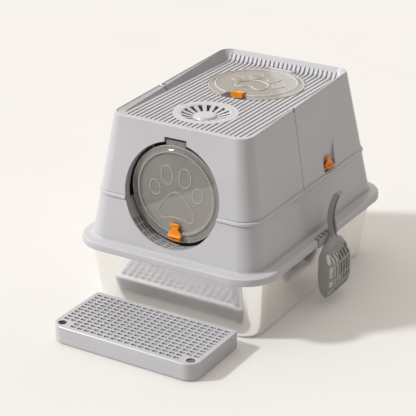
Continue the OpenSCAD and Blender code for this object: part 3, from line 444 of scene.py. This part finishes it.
# Front and side latches: glossy orange mouldings, each a rounded paddle with a neck, two
# wings, a folded finger ledge across the wings and a short tongue below.
orange = finish(
    "latch_orange", (0.80, 0.25, 0.010), (0.88, 0.285, 0.016), 40, (0.3, 0.38), 800, 0.05
)
orange.node_tree.nodes["Principled BSDF"].inputs["Specular IOR Level"].default_value = 0.25


def thicken(made, outline, way):
    """Draws a flat outline out into a solid."""
    face = made.faces.new([made.verts.new(at) for at in outline])
    far = bmesh.ops.extrude_face_region(made, geom=[face])["geom"]
    bmesh.ops.translate(
        made, verts=[item for item in far if isinstance(item, bmesh.types.BMVert)], vec=way
    )


def latch(made, w, h, t, ledge, low=0.27):
    """A latch that stands on its tongue and faces -y, with its back in the plane y = 0."""
    shares = (
        (0.24, 0), (0.33, 0.02), (0.37, 0.09), (0.36, 0.22), (0.49, 0.26), (0.5, 0.37), (0.44, 0.47),
        (0.29, 0.59), (0.21, 0.67), (0.21, 0.75), (0.28, 0.80), (0.31, 0.86), (0.30, 0.95), (0.24, 1),
    )
    half = [Vector((x * w, z * h)) for x, z in shares]
    line = half + [Vector((-at.x, at.y)) for at in reversed(half)]
    for turn in range(2):
        line = [
            line[i].lerp(line[(i + 1) % len(line)], k) for i in range(len(line)) for k in (0.25, 0.75)
        ]
    thicken(made, [(at.x, 0, at.y) for at in line], (0, -t, 0))
    # The ledge folds out of the wings and turns down a little at its lip
    side = (
        (0, 0.13), (0.35, 0.115), (0.75, 0.075), (0.97, 0.035), (1, 0), (0.93, -0.02), (0.7, 0.005),
        (0.3, 0.03), (0, 0.025),
    )
    reach = ledge + t * 0.3
    thicken(
        made, [(-w * 0.47, -t * 0.7 - reach * out, (low + up) * h) for out, up in side], (w * 0.94, 0, 0)
    )
    for vert in made.verts:
        out = (-vert.co.y - t) / ledge
        if out > 0:
            vert.co.x *= 1 - 0.1 * out * out
    # A bar is folded over the top of the paddle
    block(made, (0, -t * 1.05, h * 0.945), (w * 0.57, t * 0.9, h * 0.085))
    bmesh.ops.recalc_face_normals(made, faces=made.faces)


made = bmesh.new()
latch(made, 0.034, 0.0385, 0.004, 0.005)
block(made, (0, 0.0035, 0.0305), (0.008, 0.011, 0.005))
block(made, (0, 0.00735, 0.0305), (0.016, 0.0025, 0.005))
made.transform(Matrix.Translation((0, door_y - 0.0033, door_z - 0.101)))
place("door_latch", made, [orange], "front_door_latch", "front_door_latch", 0.0007, 35)

side_pin_x = 0.185508
side_pin_y = 0.0765
side_pin_z = 0.2673
for side, node in ((1, "side_latch_right"), (-1, "side_latch_left")):
    made = bmesh.new()
    latch(made, 0.034, 0.027, 0.003, 0.0072, 0.16)
    bar(made, (0, -0.002, 0.0046), 0.0033, 0.0204, 24)
    made.transform(
        Matrix.Translation((side * (side_pin_x - 0.002), side_pin_y, side_pin_z - 0.0046))
        @ Matrix.Rotation(side * math.pi / 2, 4, "Z")
    )
    place(node + "_paddle", made, [orange], node, node, 0.0007, 35)

# Lid: the same clear plastic over the opening in the deck, pressed up into a broad plateau
# with a sloping edge, with four domed toes and a kidney-shaped pad.
lid_clear = finish(
    "lid_clear", (0.45, 0.405, 0.35), (0.53, 0.485, 0.43), 6, (0.08, 0.14), 30, 0.0
)
# Painted light: the lid turns lighter towards its right part, and it is painted darker at a slant as shade
clear(lid_clear, (0.8, 0.6, 0), 0.082, 0.102, (0.76, 0.745, 0.72), 0.75, 0.96)
lacquer(lid_clear, 0.5, 0.05)
# The lid's raised lines get a lighter finish: a painted highlight along them
lid_painted_highlight = finish(
    "lid_painted_highlight", (0.52, 0.49, 0.455), (0.63, 0.60, 0.565), 200, (0.08, 0.16), 30, 0.02
)
lacquer(lid_painted_highlight, 1.0, 0.06)

lid_r = 0.105
face_z = 0.0045
line_z = 0.0047
made = bmesh.new()
turned(made, (
    (0, 0), (104.2, 0), (105, 0.5), (105, 1.9), (104.4, 2.5), (99.5, 2.6), (97, 2.9), (94.5, 4), (92, 5),
    (89.5, 5.5), (87, 5.4), (84, 5), (78, 4.7), (73, 4.6), (68, 4.6), (63, 4.6), (58, 4.6), (53, 4.6),
    (46, 4.6), (38, 4.6), (28, 4.6), (16, 4.6), (0, 4.6),
), 128)
# The plateau is pressed down under the latch's plate
latch_half = 0.0175
latch_back = -0.052
plate_z = 0.0025
for vert in made.verts:
    beside = min(1, max(0, (latch_half - abs(vert.co.x)) / 0.004))
    before = min(1, max(0, (latch_back - vert.co.y) / 0.005))
    if vert.co.z > plate_z:
        vert.co.z -= (vert.co.z - plate_z) * beside * before
settle(made, 40)
# The finger scallop is cut out of the blank before the ornament is laid on
blank = stand("lid_blank", made)
made = bmesh.new()
bmesh.ops.create_cone(
    made, cap_ends=True, segments=64, radius1=0.031, radius2=0.031, depth=0.03,
    matrix=Matrix.Translation((0, -lid_r, 0.002)),
)
hole = stand("finger_hole", made)
scallop = blank.modifiers.new("scallop", "BOOLEAN")
scallop.operation = "DIFFERENCE"
scallop.solver = "EXACT"
scallop.object = hole
made = bmesh.new()
made.from_object(blank, bpy.context.evaluated_depsgraph_get())
bpy.data.objects.remove(blank)
bpy.data.objects.remove(hole)
for side in (-1, 1):
    for x, y, across, along, tilt in (
        (0.0504, 0.0074, 0.0126, 0.0145, 25),
        (0.0221, 0.0399, 0.0146, 0.0176, 8),
    ):
        bmesh.ops.create_uvsphere(
            made, u_segments=32, v_segments=16, radius=1,
            matrix=Matrix.Translation((side * x, y, face_z))
            @ Matrix.Rotation(math.radians(-tilt * side), 4, "Z")
            @ Matrix.Diagonal((across, along, 0.0026, 1)),
        )
        ridge(made, oval(side * x, y, across, along, -tilt * side), 0.0013, line_z)
pad = around((
    (0, 0.13), (0.2, 0.08), (0.325, -0.1), (0.31, -0.34), (0.17, -0.36), (0, -0.26),
    (-0.17, -0.36), (-0.31, -0.34), (-0.325, -0.1), (-0.2, 0.08),
), lid_r, 6)
face = made.faces.new([made.verts.new((at.x, at.y, face_z)) for at in pad])
bmesh.ops.recalc_face_normals(made, faces=[face])
if face.normal.z < 0:
    face.normal_flip()
for inwards, up in ((0.0012, 0.0016), (0.002, 0.0006), (0.003, 0.0002)):
    bmesh.ops.inset_region(made, faces=[face], thickness=inwards, depth=up, use_even_offset=True)
ridge(made, pad, 0.0017, line_z)
for r, skip, up, thick in ((0.0893, 16, 0.0051, 0.0018), (0.1038, 19, 0.0024, 0.0012)):
    arc = [math.radians(skip - 90 + (360 - 2 * skip) * k / 96) for k in range(97)]
    ridge(made, [Vector((r * math.cos(a), r * math.sin(a))) for a in arc], thick, up, False)
block(made, (0, 0.1038, 0.00125), (0.06, 0.014, 0.0025))
bar(made, (0, 0.111, 0.0033), 0.0033, 0.06)
made.transform(Matrix.Translation((0, 0.087, 0.4147)))
place("lid_disc", made, [lid_clear, lid_painted_highlight], "top_lid", "top_lid", 0, 40)

# Lid latch: an orange slider on the lid, whose rounded finger tab stands in the cup at the
# lid's edge. Its plate lies on the lid, and a stem and foot hold it in the lid's slot.
tab_half = 0.014
tab_low = 0.4115
tab_high = 0.4245
tab_mid = 0.418
corner = 0.0045
tab = []
for x, z, start in (
    (tab_half, tab_high, 0), (-tab_half, tab_high, 90), (-tab_half, tab_low, 180), (tab_half, tab_low, 270)
):
    for k in range(7):
        a = math.radians(start + k * 15)
        tab.append((
            x - math.copysign(corner, x) + corner * math.cos(a),
            0.00406,
            z - math.copysign(corner, z - tab_mid) + corner * math.sin(a),
        ))
made = bmesh.new()
thicken(made, tab, (0, -0.004, 0))
block(made, (0, 0.01395, 0.4185), (0.0196, 0.0237, 0.002))
block(made, (0, 0.0209, 0.4157), (0.008, 0.006, 0.006))
block(made, (0, 0.0209, 0.4132), (0.016, 0.006, 0.0022))
bmesh.ops.recalc_face_normals(made, faces=made.faces)
place("lid_latch", made, [orange], "top_lid_latch", "top_lid_latch", 0.0009, 35)

# Vent: a grey dished rosette of sixteen wedge slots about a domed hub, with the cage and
# the black felt disc of the filter under it.
vent_face_z = 0.4147
dish_share = 0.62
made = moulded("vent_grille")
for vert in made.verts:
    if vert.co.z < vent_face_z:
        vert.co.z = vent_face_z + (vert.co.z - vent_face_z) * dish_share
place("vent_rosette", made, [frame_grey], "vent_grille", "vent_grille", 0.0004)
place("cage", moulded("filter_cage"), [frame_grey], "front_hood", "filter_cage", 0.0004)
felt = finish(
    "carbon_felt", (0.018, 0.018, 0.019), (0.045, 0.045, 0.047), 180, (0.85, 0.98), 600, 0.6
)
place("felt_disc", moulded("carbon_filter"), [felt], "front_hood", "carbon_filter", 0.0008)

# Scoop and its clip: a darker grey plastic. The scoop hangs over the flange by its hollow
# handle, with its slotted basket turned outwards.
scoop_grey = finish(
    "scoop_grey", (0.33, 0.322, 0.324), (0.365, 0.356, 0.358), 12, (0.36, 0.44), 900, 0.05
)
place("scoop_basket", moulded("scoop"), [scoop_grey], "scoop", "scoop", 0.0006, 32)
place("clip", moulded("scoop_holder"), [scoop_grey], "frame", "scoop_holder", 0.0005)

# Step: a hollow grey tray with a slotted top in front of the box, which stands on four
# black rubber pads and keeps the litter that paws carry out.
place("tray", moulded("step_tray"), [frame_grey], "step", "step_tray", 0.0008)
step_top_z = 0.0393
made = moulded("step_grille")
brim = []
for x, y in ((-0.1435, -0.4495), (0.1615, -0.4495)):
    # The finger hole is widened, its wall painted dark as painted shade, and its brim chamfered
    for vert in made.verts:
        away = Vector((vert.co.x - x, vert.co.y - y, 0))
        if away.length < 0.0078:
            vert.co += away * 0.2
    for face in made.faces:
        at = face.calc_center_median()
        if math.hypot(at.x - x, at.y - y) < 0.0095 and abs(face.normal.z) < 0.1:
            face.material_index = 1
            brim += [edge for edge in face.edges if all(vert.co.z > step_top_z for vert in edge.verts)]
chamfer = bmesh.ops.bevel(
    made, geom=brim, offset=0.0008, segments=2, profile=0.5, affect="EDGES", material=-1
)
for face in chamfer["faces"]:
    face.material_index = 0
place("slotted_top", made, [frame_grey, painted_slot_shade], "step_grille", "step_grille", 0.0005)
rubber = finish("pad_rubber", (0.02, 0.02, 0.02), (0.035, 0.035, 0.035), 50, (0.7, 0.85), 400, 0.3)
place("rubber_pads", moulded("step_feet"), [rubber], "step", "step_feet", 0.0005)
